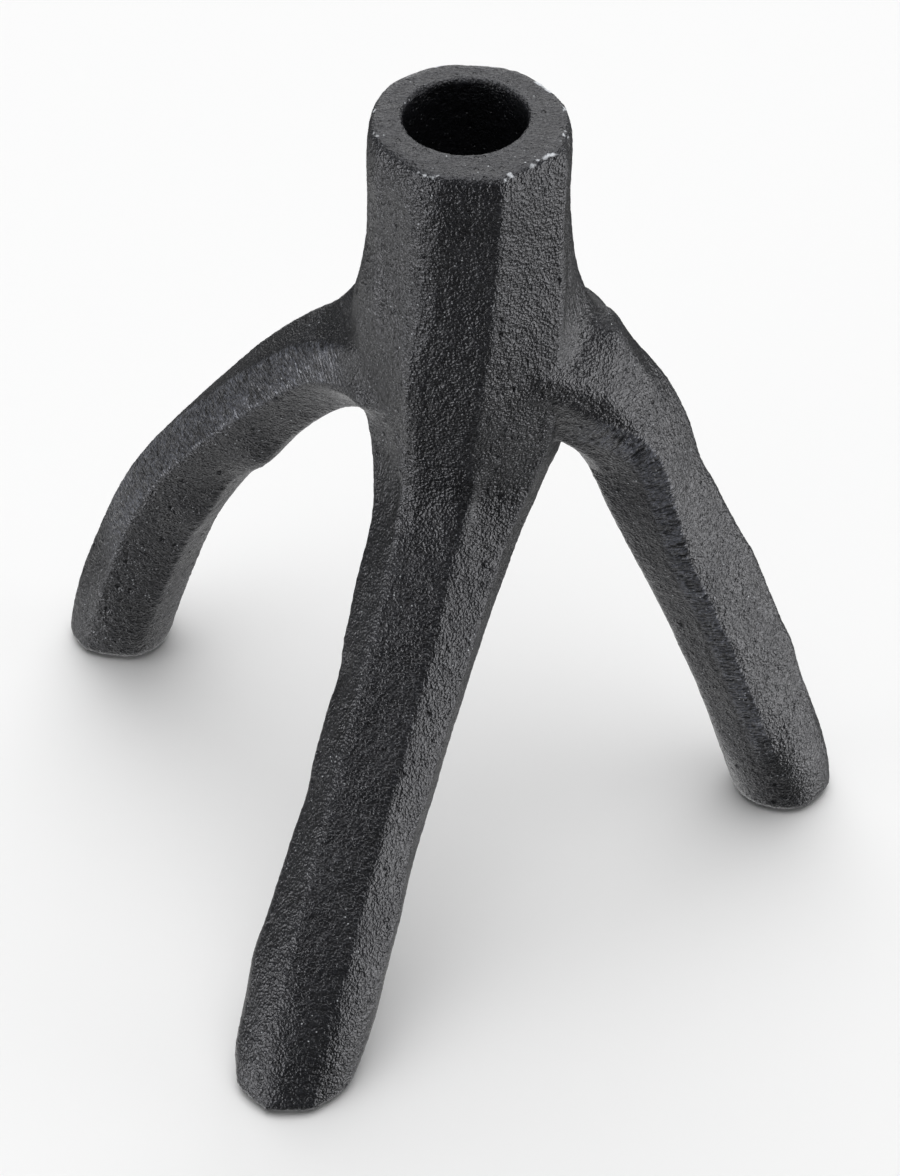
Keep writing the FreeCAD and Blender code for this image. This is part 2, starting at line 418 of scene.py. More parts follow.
def node_line(node, low, high, count):
    bm = bmesh.new()
    bm.from_mesh(frame["nodes"][node].data)
    line = [level_middle(bm, z) for z in np.linspace(high, low, count)]
    bm.free()
    return line


def limb_lines():
    """The middle line of each limb, from its top to its foot, at even steps. The front limb
    starts at the rim, and the side limbs start on the neck's axis."""
    lines = {}
    neck = node_line("neck", HEIGHT - 25 * MM, HEIGHT - 2 * MM, 4)
    for leg in LEGS:
        low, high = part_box(f"{leg}_leg")
        slope_room = 13 * MM
        line = node_line(f"{leg}_leg", low.z + 0.5 * MM, high.z - slope_room, 9)
        if leg == "front":
            line = neck + line
        else:
            first = line[0] - line[1]
            first /= np.linalg.norm(first)
            start = line[0] + first * 14 * MM
            axis = np.append(neck[0][:2], start[2] + 9 * MM)
            line = [axis, start] + line
        line = np.array(line)
        steps = np.linalg.norm(np.diff(line, axis=0), axis=1)
        way = np.append(0, np.cumsum(steps))
        even = np.arange(0, way[-1], 1.0 * MM)
        lines[leg] = np.stack([np.interp(even, way, line[:, k]) for k in range(3)], axis=1)
    return lines


def limb_frames(line):
    """Tangent, outward side and level side at each point of a middle line."""
    wide = np.ones(15) / 15
    padded = np.pad(line, ((7, 7), (0, 0)), mode="reflect", reflect_type="odd")
    smooth = np.stack([np.convolve(padded[:, k], wide, "valid") for k in range(3)], axis=1)
    tangent = np.gradient(smooth, axis=0)
    tangent /= np.linalg.norm(tangent, axis=1, keepdims=True)
    away = line[-1] - line[0]
    away[2] = 0
    level = np.cross(UP, away / np.linalg.norm(away))
    outward = np.cross(tangent, level)
    outward /= np.linalg.norm(outward, axis=1, keepdims=True)
    return smooth, outward, level


def limb_places(points):
    """For each point: the number of its nearest limb, how far along it the point is in mm, the
    angle round it from the outer side in degrees, and the offset from its middle line."""
    best = np.full(len(points), np.inf)
    limb = np.zeros(len(points), int)
    along = np.zeros(len(points))
    around = np.zeros(len(points))
    offset = np.zeros((len(points), 3))
    for number, line in enumerate(limb_lines().values()):
        smooth, outward, level = limb_frames(line)
        tree = kdtree.KDTree(len(smooth))
        for i, p in enumerate(smooth):
            tree.insert(Vector(p), i)
        tree.balance()
        found = [tree.find(Vector(p)) for p in points]
        near = np.array([f[1] for f in found])
        distance = np.array([f[2] for f in found])
        closer = distance < best
        off = points - smooth[near]
        down = np.cross(level, outward[near])
        ahead = (off * down).sum(1)
        off = off - down * ahead[:, None]
        angle = np.degrees(np.arctan2(off @ level, (off * outward[near]).sum(1)))
        best = np.where(closer, distance, best)
        limb = np.where(closer, number, limb)
        along = np.where(closer, near - ahead / MM, along)
        around = np.where(closer, angle, around)
        offset = np.where(closer[:, None], off, offset)
    return limb, along, around, offset


def outline_table(along, around, radius, used):
    """Mean radius of a limb by way along it, in rows of 2 mm, and by angle, in columns of 3
    degrees, and the same with its corners smoothed out."""
    row = np.clip(np.round(along / ROW_STEP).astype(int), 0, None)
    column = np.round(around / COLUMN_STEP).astype(int) % COLUMNS
    cells = (row.max() + 1) * COLUMNS
    index = (row * COLUMNS + column)[used]
    count = np.bincount(index, minlength=cells).reshape(-1, COLUMNS)
    total = np.bincount(index, radius[used], cells).reshape(-1, COLUMNS)
    table = np.zeros_like(total)
    for i in range(len(table)):
        full = np.nonzero(count[i])[0]
        if len(full) == 0:
            continue
        angles = np.concatenate((full - COLUMNS, full, full + COLUMNS))
        values = np.tile(total[i, full] / count[i, full], 3)
        table[i] = np.interp(np.arange(COLUMNS), angles, values)
    rows_full = np.nonzero(table.any(1))[0]
    for i in range(len(table)):
        table[i] = table[rows_full[np.abs(rows_full - i).argmin()]]
    padded = np.pad(table, ((1, 1), (0, 0)), mode="edge")
    table = (padded[:-2] + padded[1:-1] + padded[2:]) / 3
    waves = np.fft.rfft(table, axis=1)
    damping = np.exp(-0.5 * (np.arange(waves.shape[1]) * math.radians(ROUNDING_ANGLE)) ** 2)
    return table, np.fft.irfft(waves * damping, COLUMNS, axis=1)


def along_smooth(table):
    """An outline table averaged over CALM_ROWS rows of the way along its limb."""
    reach = CALM_ROWS // 2
    padded = np.pad(table, ((reach, reach), (0, 0)), mode="edge")
    return sum(padded[k:k + len(table)] for k in range(CALM_ROWS)) / CALM_ROWS


def table_value(table, along, around):
    """Value of an outline table at each point, between its cells."""
    row = np.clip(along / ROW_STEP, 0, len(table) - 1.001)
    column = (around / COLUMN_STEP) % COLUMNS
    i = row.astype(int)
    j = column.astype(int) % COLUMNS
    n = (j + 1) % COLUMNS
    a = row - i
    b = column - np.floor(column)
    return (table[i, j] * (1 - a) * (1 - b) + table[i + 1, j] * a * (1 - b)
            + table[i, n] * (1 - a) * b + table[i + 1, n] * a * b)


def band_place(band, along):
    """Middle and half-width of a ground band, in degrees, at each way along its leg."""
    low = np.interp(along, band["along"], band["from"])
    high = np.interp(along, band["along"], band["to"])
    return (low + high) / 2, (high - low) / 2


def flat_outline(corners, smooth, along, around):
    """Distance from the leg's middle line of the flats between its corners."""
    ways = [way for way, _ in corners]
    angles = [np.interp(along, ways, column) for column in zip(*[turns for _, turns in corners])]
    outline = np.zeros(len(along))
    for first, second in zip(angles, angles[1:] + [angles[0] + 360]):
        width = np.radians(second - first)
        past = np.radians((around - first) % 360)
        near = table_value(smooth, along, first) * CORNER_LIFT
        far = table_value(smooth, along, second) * CORNER_LIFT
        across = np.maximum(near * np.sin(past) + far * np.sin(width - past), 1e-6)
        chord = near * far * np.sin(width) / across
        outline = np.where(past <= width, chord, outline)
    return outline


def round_limbs(points, normals, limb, along, around, offset):
    """Shapes the outlines where the casting differs from its octagons: the neck's sides and
    back, the feet and, a little, all of the legs are rounder, the side legs have flats between
    corners of their own, and the bend at the fork is smooth."""
    height = points[:, 2]
    radius = np.linalg.norm(offset, axis=1)
    radial = offset / np.maximum(radius, 1e-6)[:, None]
    on_side = (normals * radial).sum(1) > 0.5
    from_axis = np.hypot(*(points - SOCKET_AXIS)[:, :2].T)
    in_bore = (from_axis < SOCKET_RADIUS + SOCKET_MARGIN) & (height > BORE_FROM)
    moved = points.copy()
    for number, leg in enumerate(LEGS):
        here = limb == number
        table, smooth = outline_table(along, around, radius, here & on_side & ~in_bore)
        outline = table_value(table, along, around)
        rounded = table_value(smooth, along, around)
        faceted = outline
        if leg in CORNERS:
            flats = flat_outline(CORNERS[leg], smooth, along, around)
            faceted = outline + (flats - outline) * smoothstep(20, 34, along)
        change = rounded - faceted
        end = along[here].max()
        weight = LEG_ROUNDING + FOOT_ROUNDING * smoothstep(end - FOOT_LENGTH, end - FOOT_END, along)
        if leg == "front":
            weight, change = front_rounding(weight, change, height, around)
        else:
            weight = weight * smoothstep(26, 40, along)
        step = weight * change + faceted - outline
        if leg == "front":
            step = front_details(step, table, outline, height, along, around)
        wall = radius - SOCKET_RADIUS - SOCKET_MARGIN
        whole_wall = np.maximum(outline - SOCKET_RADIUS - SOCKET_MARGIN, MM)
        share = np.where(height > BORE_FROM, np.clip(wall / whole_wall, 0, 1),
                         radius / np.maximum(outline, MM))
        step = step * np.clip(share, 0, 1.1) * (here & ~in_bore)
        moved += radial * step[:, None]
    return moved


def front_rounding(weight, change, height, around):
    """The front limb's rounding. On the neck, the facets between about 15 and 96 degrees stay
    crisp, those between -40 and 15 only lose their corners, and the rest is rounded."""
    crisp = smoothstep(12, 18, around) * (1 - smoothstep(88, 104, around))
    corner = smoothstep(-44, -36, around) * (1 - smoothstep(12, 18, around))
    corner_change = np.where(corner > 0, np.minimum(change, change * (1 - corner)), change)
    neck_weight = (1 - crisp) * smoothstep(*NECK_FADE, height)
    leg_weight = weight * (1 - smoothstep(*LEG_FADE, height))
    change = np.where(height > NECK_FROM, corner_change, change)
    return np.where(height > NECK_FROM, neck_weight, leg_weight), change


def front_details(step, table, outline, height, along, around):
    """Adds the swells below the rim to the front limb's step, and smooths the fork's bend."""
    for turn, half, swell in RIM_SWELLS:
        gap = turn_gap(around, turn) / half
        step = step + swell * MM * np.exp(-gap * gap) * (1 - smoothstep(4, 34, along))
    calm = np.exp(-((height - FORK_HEIGHT) / FORK_REACH) ** 2)
    calm = calm * (1 - smoothstep(56, 76, np.abs(around - 10)))
    return step + calm * (table_value(along_smooth(table), along, around) - outline)


def turn_gap(first, second):
    """Difference of two angles in degrees, from -180 to 180."""
    return (first - second + 180) % 360 - 180


def ground_share(limb, along, around):
    """How much of each point was ground flat, 0 to 1, and the way along the leg that each
    point has in the pattern of the grinder's marks, in mm."""
    share = np.zeros(len(limb))
    mark = along.copy()
    for leg, band in GROUND_BANDS.items():
        start, end = band["along"][0], band["along"][-1]
        middle, half = band_place(band, along)
        gap = turn_gap(around, middle)
        across = 1 - smoothstep(half - 2, half + 2, np.abs(gap))
        ends = smoothstep(start, start + 8, along) * (1 - smoothstep(end - 12, end, along))
        here = limb == LEGS.index(leg)
        share = np.where(here, np.maximum(share, across * ends), share)
        mark = np.where(here, along + band["lean"] * gap, mark)
    return share, mark


def knock(points, normals, limb, along, around):
    """Pushes the surface in or out at the places that were knocked."""
    moved = points.copy()
    for leg, way, turn, width, depth in KNOCKS:
        near = (np.abs(along - way) < 3) & (np.abs(turn_gap(around, turn)) < 12)
        here = near & (limb == LEGS.index(leg))
        if not here.any():
            raise RuntimeError(f"no point on the {leg} limb at {way} mm and {turn} degrees")
        centre = points[here].mean(0)
        gap = np.linalg.norm(points - centre, axis=1) / (width * MM)
        moved -= normals * (np.exp(-2.2 * gap * gap) * depth * MM)[:, None]
    return moved


def softening_weight(points):
    """1 where facets' edges are smoothed, 0 in the socket and on the crisp side of the rim."""
    off = points - SOCKET_AXIS
    from_axis = np.hypot(off[:, 0], off[:, 1])
    in_socket = (from_axis < SOCKET_RADIUS + 1.5 * MM) & (off[:, 2] > HEIGHT - SOCKET_WALL - 9 * MM)
    toward_worn = -(off[:, 0] * 0.93 - off[:, 1] * 0.36) / np.maximum(from_axis, MM)
    worn_side = smoothstep(-0.2, 0.5, toward_worn)
    top = smoothstep(HEIGHT - 3 * MM, HEIGHT - 0.5 * MM, off[:, 2])
    weight = 1 - top * (1 - worn_side) * 0.9
    return np.where(in_socket, 0.0, weight)


def math_tools(tree):
    """Functions that add a math node to a tree: any operation, a product and a sum."""
    def math_node(operation, first, second=0.0, third=0.0, clamp=False):
        return add(tree, "ShaderNodeMath", {"operation": operation, "use_clamp": clamp},
                   n0=first, n1=second, n2=third).outputs[0]

    def times(first, second, clamp=False):
        return math_node("MULTIPLY", first, second, clamp=clamp)

    def plus(first, second, clamp=False):
        return math_node("ADD", first, second, clamp=clamp)

    return math_node, times, plus


# ---------------------------------------------------------------------------------------------
# The casting's skin, as a Geometry Nodes tree


def skin_tree():
    """Softens the facets' edges, then lays the sand's lumps, grain and pits and the grinder's
    grooves on the surface, and stores where its edges stand out."""
    tree = bpy.data.node_groups.new("cast_skin", "GeometryNodeTree")
    face = tree.interface
    face.new_socket("Geometry", in_out="INPUT", socket_type="NodeSocketGeometry")
    face.new_socket("Softening", in_out="INPUT", socket_type="NodeSocketInt")
    for name in ("Swell", "Lump Height", "Lump Size", "Grain Height", "Grain Size", "Pit Depth",
                 "Pit Spacing", "Groove Depth", "Groove Spacing"):
        face.new_socket(name, in_out="INPUT", socket_type="NodeSocketFloat")
    face.new_socket("Material", in_out="INPUT", socket_type="NodeSocketMaterial")
    face.new_socket("Geometry", in_out="OUTPUT", socket_type="NodeSocketGeometry")
    into = tree.nodes.new("NodeGroupInput").outputs
    place = add(tree, "GeometryNodeInputPosition").outputs[0]
    normal = add(tree, "GeometryNodeInputNormal").outputs[0]

    math_node, times, plus = math_tools(tree)

    def vector_node(operation, first, **links):
        node = add(tree, "ShaderNodeVectorMath", {"operation": operation}, n0=first, **links)
        return node.outputs["Value"] if operation == "DOT_PRODUCT" else node.outputs["Vector"]

    def attribute(name):
        node = add(tree, "GeometryNodeInputNamedAttribute", {"data_type": "FLOAT"}, name=name)
        return node.outputs[0]

    def texture_at(size):
        """The place on the surface in units of one pattern size."""
        return vector_node("SCALE", place, scale=math_node("DIVIDE", 1.0, size))

    ground = attribute("ground")
    rough = math_node("SUBTRACT", 1.0, ground)

    blurred = add(tree, "GeometryNodeBlurAttribute", {"data_type": "FLOAT_VECTOR"},
                  value=place, iterations=into["Softening"], weight=attribute("soften")).outputs[0]
    soft = add(tree, "GeometryNodeSetPosition", geometry=into[0], position=blurred)

    lumps = add(tree, "ShaderNodeTexNoise", {"noise_dimensions": "3D"}, detail=2.0, roughness=0.5,
                scale=1.0, vector=texture_at(into["Lump Size"])).outputs[0]
    lump = times(math_node("SUBTRACT", lumps, 0.5), into["Lump Height"])

    grains = add(tree, "ShaderNodeTexNoise", {"noise_dimensions": "3D"}, detail=3.0, roughness=0.6,
                 scale=1.0, distortion=0.4, vector=texture_at(into["Grain Size"])).outputs[0]
    grain = times(math_node("SUBTRACT", grains, 0.5), into["Grain Height"])
    grain = times(grain, math_node("MULTIPLY_ADD", rough, 1.75, 0.25))

    cells = add(tree, "ShaderNodeTexVoronoi", {"voronoi_dimensions": "3D", "feature": "F1"},
                scale=1.0, randomness=1.0, vector=texture_at(into["Pit Spacing"]))
    chance = add(tree, "ShaderNodeSeparateXYZ", n0=cells.outputs["Color"]).outputs[0]
    pit_radius = times(math_node("SUBTRACT", chance, 0.45, clamp=True), 0.55)
    inside = math_node("SUBTRACT", pit_radius, cells.outputs["Distance"], clamp=True)
    bowl = times(inside, 7.0, clamp=True)
    pit = times(times(bowl, into["Pit Depth"]),
                math_node("MULTIPLY_ADD", rough, 0.8, 0.2))

    along = times(attribute("along"), MM)
    across = times(attribute("around"), 0.02)
    groove_at = add(tree, "ShaderNodeCombineXYZ",
                    x=math_node("DIVIDE", along, into["Groove Spacing"]), y=across).outputs[0]
    grooves = add(tree, "ShaderNodeTexNoise", {"noise_dimensions": "3D"}, detail=2.0, roughness=0.7,
                  scale=1.0, vector=groove_at).outputs[0]
    groove = times(math_node("SUBTRACT", grooves, 0.5), into["Groove Depth"])
    groove = times(groove, times(ground, 2.0))

    height = plus(plus(lump, grain), math_node("SUBTRACT", groove, pit))
    height = plus(times(height, attribute("relief")), into["Swell"])
    offset = vector_node("SCALE", normal, scale=height)
    rough_skin = add(tree, "GeometryNodeSetPosition", geometry=soft.outputs[0], offset=offset)

    around_here = add(tree, "GeometryNodeBlurAttribute", {"data_type": "FLOAT_VECTOR"},
                      value=place, iterations=5).outputs[0]
    out = vector_node("SUBTRACT", place, n1=around_here)
    stands = math_node("DIVIDE", vector_node("DOT_PRODUCT", out, n1=normal), 0.1 * MM)
    stored = add(tree, "GeometryNodeStoreNamedAttribute", {"data_type": "FLOAT", "domain": "POINT"},
                 geometry=rough_skin.outputs[0], name="edge", value=stands)
    smooth = add(tree, "GeometryNodeSetShadeSmooth", geometry=stored.outputs[0])
    real = add(tree, "GeometryNodeRealizeInstances", geometry=smooth.outputs[0])
    painted = add(tree, "GeometryNodeSetMaterial", geometry=real.outputs[0], material=into["Material"])
    result = tree.nodes.new("NodeGroupOutput")
    tree.links.new(painted.outputs[0], result.inputs[0])
    return tree


def set_inputs(modifier, values):
    """Sets a tree's inputs through their sockets' identifiers."""
    sockets = {s.name: s.identifier for s in modifier.node_group.interface.items_tree
               if s.item_type == "SOCKET" and s.in_out == "INPUT"}
    for name, value in values.items():
        modifier[sockets[name]] = value


# ---------------------------------------------------------------------------------------------
# Dividing the casting where its nodes meet


def meeting_plane(leg):
    """Point and normal of the flat face where a leg meets the neck, from the points that both
    nodes have there. The normal points down the leg."""
    neck = points_of(frame["nodes"]["neck"].data)
    tree = kdtree.KDTree(len(neck))
    for i, p in enumerate(neck):
        tree.insert(Vector(p), i)
    tree.balance()
    leg_points = points_of(frame["nodes"][f"{leg}_leg"].data)
    shared = np.array([p for p in leg_points if tree.find(Vector(p))[2] < 0.02 * MM])
    centre = (shared.min(0) + shared.max(0)) / 2
    normal = np.linalg.svd(shared - shared.mean(0), full_matrices=False)[2][2]
    if normal @ (leg_points.mean(0) - centre) < 0:
        normal = -normal
    return Vector(centre), Vector(normal)


def divide(mesh):
    """Cuts the whole casting on the three meeting planes, closes every cut, and returns
    {node name: mesh}. The cut faces are marked by the attribute 'cap'."""
    bm = bmesh.new()
    bm.from_mesh(mesh)
    cap = bm.faces.layers.int.new("cap")
    for leg in LEGS:
        centre, normal = meeting_plane(leg)
        reach = 24 * MM
        faces = [f for f in bm.faces if (f.calc_center_median() - centre).length < reach]
        edges = list({e for f in faces for e in f.edges})
        verts = list({v for f in faces for v in f.verts})
        cut = bmesh.ops.bisect_plane(
            bm, geom=verts + edges + faces, plane_co=centre, plane_no=normal, dist=0.002 * MM)
        ring = [e for e in cut["geom_cut"] if isinstance(e, bmesh.types.BMEdge)]
        bmesh.ops.split_edges(bm, edges=ring)
    open_edges = [e for e in bm.edges if e.is_boundary]
    filled = bmesh.ops.holes_fill(bm, edges=open_edges, sides=0)["faces"]
    for f in filled:
        f[cap] = 1
        f.smooth = False
    bmesh.ops.triangulate(bm, faces=filled)
    pieces = {}
    seen = set()
    feet = {f"{leg}_leg": Vector(limb_lines()[leg][-1]) for leg in LEGS}
    for start in bm.verts:
        if start in seen:
            continue
        island = {start}
        edge_of = [start]
        while edge_of:
            v = edge_of.pop()
            for e in v.link_edges:
                o = e.other_vert(v)
                if o not in island:
                    island.add(o)
                    edge_of.append(o)
        seen |= island
        if len(island) < 500:
            continue
        lowest = min(island, key=lambda v: v.co.z)
        name = "neck"
        if lowest.co.z < 5 * MM:
            name = min(feet, key=lambda n: (feet[n] - lowest.co).length)
        if name in pieces:
            raise RuntimeError(f"two islands claim {name}")
        pieces[name] = island
    made = {}
    for name, island in pieces.items():
        copy = bm.copy()
        copy.verts.ensure_lookup_table()
        keep = {v.index for v in island}
        bmesh.ops.delete(copy, geom=[v for v in copy.verts if v.index not in keep], context="VERTS")
        result = bpy.data.meshes.new(name)
        copy.to_mesh(result)
        copy.free()
        for material in mesh.materials:
            result.materials.append(material)
        made[name] = result
    bm.free()
    return made


def keep_normals(mesh):
    """Shades a divided piece with the normals of the whole casting, so no seam shows."""
    stored = np.empty(len(mesh.vertices) * 3, np.float32)
    mesh.attributes["whole_normal"].data.foreach_get("vector", stored)
    stored = stored.reshape(-1, 3)
    stored /= np.maximum(np.linalg.norm(stored, axis=1, keepdims=True), 1e-9)
    loop_vertex = np.empty(len(mesh.loops), np.int32)
    mesh.loops.foreach_get("vertex_index", loop_vertex)
    normals = stored[loop_vertex]
    cap = np.zeros(len(mesh.polygons), np.int32)
    mesh.attributes["cap"].data.foreach_get("value", cap)
    for i in np.nonzero(cap)[0]:
        polygon = mesh.polygons[i]
        normals[list(polygon.loop_indices)] = polygon.normal
    mesh.normals_split_custom_set(normals.tolist())
    mesh.attributes.remove(mesh.attributes["whole_normal"])
    mesh.attributes.remove(mesh.attributes["cap"])


# ---------------------------------------------------------------------------------------------
# Materials


def matt_black_coat(settings):
    """Thin matt black coat over a sand-cast aluminium surface. The coat takes the shape of the
    sand's grain, so the facets glitter softly instead of reflecting. It is a little lighter and
    smoother on the ground bands. Its colour carries painted shade and painted highlights that follow
    the grain and the edges, and bright metal colour painted in as glints: scattered specks, and
    patches along the rim's outer edge."""
    material = bpy.data.materials.new("matt_black_coat_on_sand_cast_aluminium")
    material.use_nodes = True
    tree = material.node_tree
    shader = tree.nodes["Principled BSDF"]
    place = add(tree, "ShaderNodeTexCoord").outputs["Object"]
    per_mm = 1 / MM
    colour = tuple(settings.coat)

    def noise(size_mm, detail, rough=0.6, vector=None):
        return add(tree, "ShaderNodeTexNoise", {"noise_dimensions": "3D"}, scale=per_mm / size_mm,
                   detail=detail, roughness=rough, vector=vector or place).outputs[0]

    def ramp(value, low, high, to_low=0.0, to_high=1.0):
        return add(tree, "ShaderNodeMapRange", value=value, from_min=low, from_max=high,
                   to_min=to_low, to_max=to_high).outputs[0]

    def attribute(name):
        return add(tree, "ShaderNodeAttribute", {"attribute_name": name}).outputs["Fac"]

    math_node, times, plus = math_tools(tree)

    ground = attribute("ground")
    edge = attribute("edge")
    cloud = noise(9.0, 3.0)
    leather = noise(0.5, 1.0, 0.5)
    swell = noise(1.9, 1.0, 0.5)
    specks = add(tree, "ShaderNodeTexVoronoi", {"feature": "F1"}, scale=per_mm / 0.9, vector=place)
    speck_chance = add(tree, "ShaderNodeSeparateColor", n0=specks.outputs["Color"]).outputs[1]
    pits = add(tree, "ShaderNodeTexVoronoi", {"feature": "F1"}, scale=per_mm / 1.5, vector=place)
    pit_chance = add(tree, "ShaderNodeSeparateColor", n0=pits.outputs["Color"]).outputs[0]

    # Scratches across the ground bands: long across the leg and about 0.8 mm wide along it.
    scratch_at = add(tree, "ShaderNodeCombineXYZ", x=times(attribute("along"), 1.25),
                     y=times(attribute("around"), 0.05)).outputs[0]
    scratch = add(tree, "ShaderNodeTexNoise", {"noise_dimensions": "3D"}, scale=1.0, detail=1.0,
                  roughness=0.6, vector=scratch_at).outputs[0]

    tone = ramp(cloud, 0.3, 0.7, 0.75, 1.3)
    # Painted shade in the grain's low parts and a painted highlight on its raised parts, from the same
    # noise as the bump.
    tone = times(tone, ramp(leather, 0.3, 0.7, 0.2, 2.3))
    # Painted shade in hollows and creases, and a painted highlight on convex edges, from the stored
    # edge attribute.
    tone = times(tone, ramp(edge, -0.8, 0.8, 0.7, 1.4))
    tone = times(tone, ramp(ground, 0.0, 1.0, 1.0, 4.6))
    streak = ramp(scratch, 0.38, 0.62, -0.8, 0.9)
    tone = times(tone, plus(times(streak, ground), 1.0))
    base = add(tree, "ShaderNodeVectorMath", {"operation": "SCALE"}, n0=colour, scale=tone).outputs[0]

    # Painted glints: small clustered specks of bright metal colour, standing for light glinting on the
    # grain.
    near_speck = ramp(specks.outputs["Distance"], 0.08, 0.22, 1.0, 0.0)
    chosen = ramp(speck_chance, 0.76, 0.8)
    clustered = ramp(cloud, 0.45, 0.58)
    painted_glints = times(times(near_speck, chosen), clustered)
    # Painted highlight: bright metal colour in patches on the sharpest edges near the rim's outer
    # edge.
    from_rim = add(tree, "ShaderNodeVectorMath", {"operation": "DISTANCE"}, n0=place,
                   n1=(SOCKET_AXIS[0], SOCKET_AXIS[1], HEIGHT)).outputs["Value"]
    outer_rim = times(ramp(from_rim, RIM_HIGHLIGHT_FROM, RIM_HIGHLIGHT_FROM + MM),
                      ramp(from_rim, RIM_HIGHLIGHT_TO, RIM_HIGHLIGHT_TO + MM, 1.0, 0.0))
    painted_rim_highlight = times(ramp(edge, 1.2, 1.7), ramp(noise(4.0, 2.0), 0.52, 0.56))
    painted_rim_highlight = times(painted_rim_highlight, outer_rim)
    painted_glints = plus(painted_glints, painted_rim_highlight, clamp=True)
    # Bright metal colour is mixed into the coat where the painted glints and the rim's painted
    # highlight lie.
    bright = add(tree, "ShaderNodeMix", {"data_type": "RGBA"}, factor=painted_glints, n6=base,
                 n7=(*linear("#c9ccd0"), 1.0)).outputs[2]
    tree.links.new(bright, shader.inputs["Base Color"])
    tree.links.new(times(painted_glints, 0.4), shader.inputs["Metallic"])

    rough = ramp(cloud, 0.3, 0.7, settings.roughness - 0.06, settings.roughness + 0.08)
    rough = plus(rough, ramp(leather, 0.3, 0.7, 0.12, -0.12))
    rough = math_node("SUBTRACT", rough, times(ground, 0.06))
    rough = plus(rough, times(painted_glints, 0.3))
    tree.links.new(rough, shader.inputs["Roughness"])
    shader.inputs["Specular IOR Level"].default_value = 0.5
    shader.inputs["Specular Tint"].default_value = (0.95, 0.95, 1.0, 1.0)

    pit_size = ramp(pit_chance, 0.45, 1.0, 0.0, 0.34)
    pit = ramp(math_node("SUBTRACT", pit_size, pits.outputs["Distance"]), 0.0, 0.12)
    relief = plus(times(leather, 0.75), times(swell, 0.6))
    relief = math_node("SUBTRACT", relief, times(pit, 0.9))
    relief = times(relief, ramp(ground, 0.0, 1.0, 1.0, 0.05))
    relief = plus(relief, times(times(scratch, ground), 1.8))
    bump = add(tree, "ShaderNodeBump", strength=1.0, distance=0.5 * MM, height=relief)
    tree.links.new(bump.outputs[0], shader.inputs["Normal"])
    return material


def black_felt(settings):
    """Pressed wool felt: a dull black mat of crossed fibres, with a light bloom at its edges."""
    material = bpy.data.materials.new("pressed_wool_felt")
    material.use_nodes = True
    tree = material.node_tree
    shader = tree.nodes["Principled BSDF"]
    place = add(tree, "ShaderNodeTexCoord").outputs["Object"]
    fibres = add(tree, "ShaderNodeTexNoise", scale=1 / (0.18 * MM), detail=4.0, roughness=0.7,
                 distortion=1.5, vector=place).outputs[0]
    tufts = add(tree, "ShaderNodeTexNoise", scale=1 / (1.4 * MM), detail=2.0, vector=place).outputs[0]
    mixed = add(tree, "ShaderNodeMath", {"operation": "MULTIPLY"}, n0=fibres, n1=tufts).outputs[0]
    tone = add(tree, "ShaderNodeMapRange", value=mixed, from_min=0.12, from_max=0.4,
               to_min=0.6, to_max=1.9).outputs[0]
    base = add(tree, "ShaderNodeVectorMath", {"operation": "SCALE"}, n0=tuple(settings.colour),
               scale=tone).outputs[0]
    tree.links.new(base, shader.inputs["Base Color"])
    bump = add(tree, "ShaderNodeBump", strength=0.8, distance=0.12 * MM, height=fibres)
    tree.links.new(bump.outputs[0], shader.inputs["Normal"])
    shader.inputs["Roughness"].default_value = 0.95
    shader.inputs["Sheen Weight"].default_value = 0.4
    shader.inputs["Sheen Roughness"].default_value = 0.5
    return material


# ---------------------------------------------------------------------------------------------
# Operators


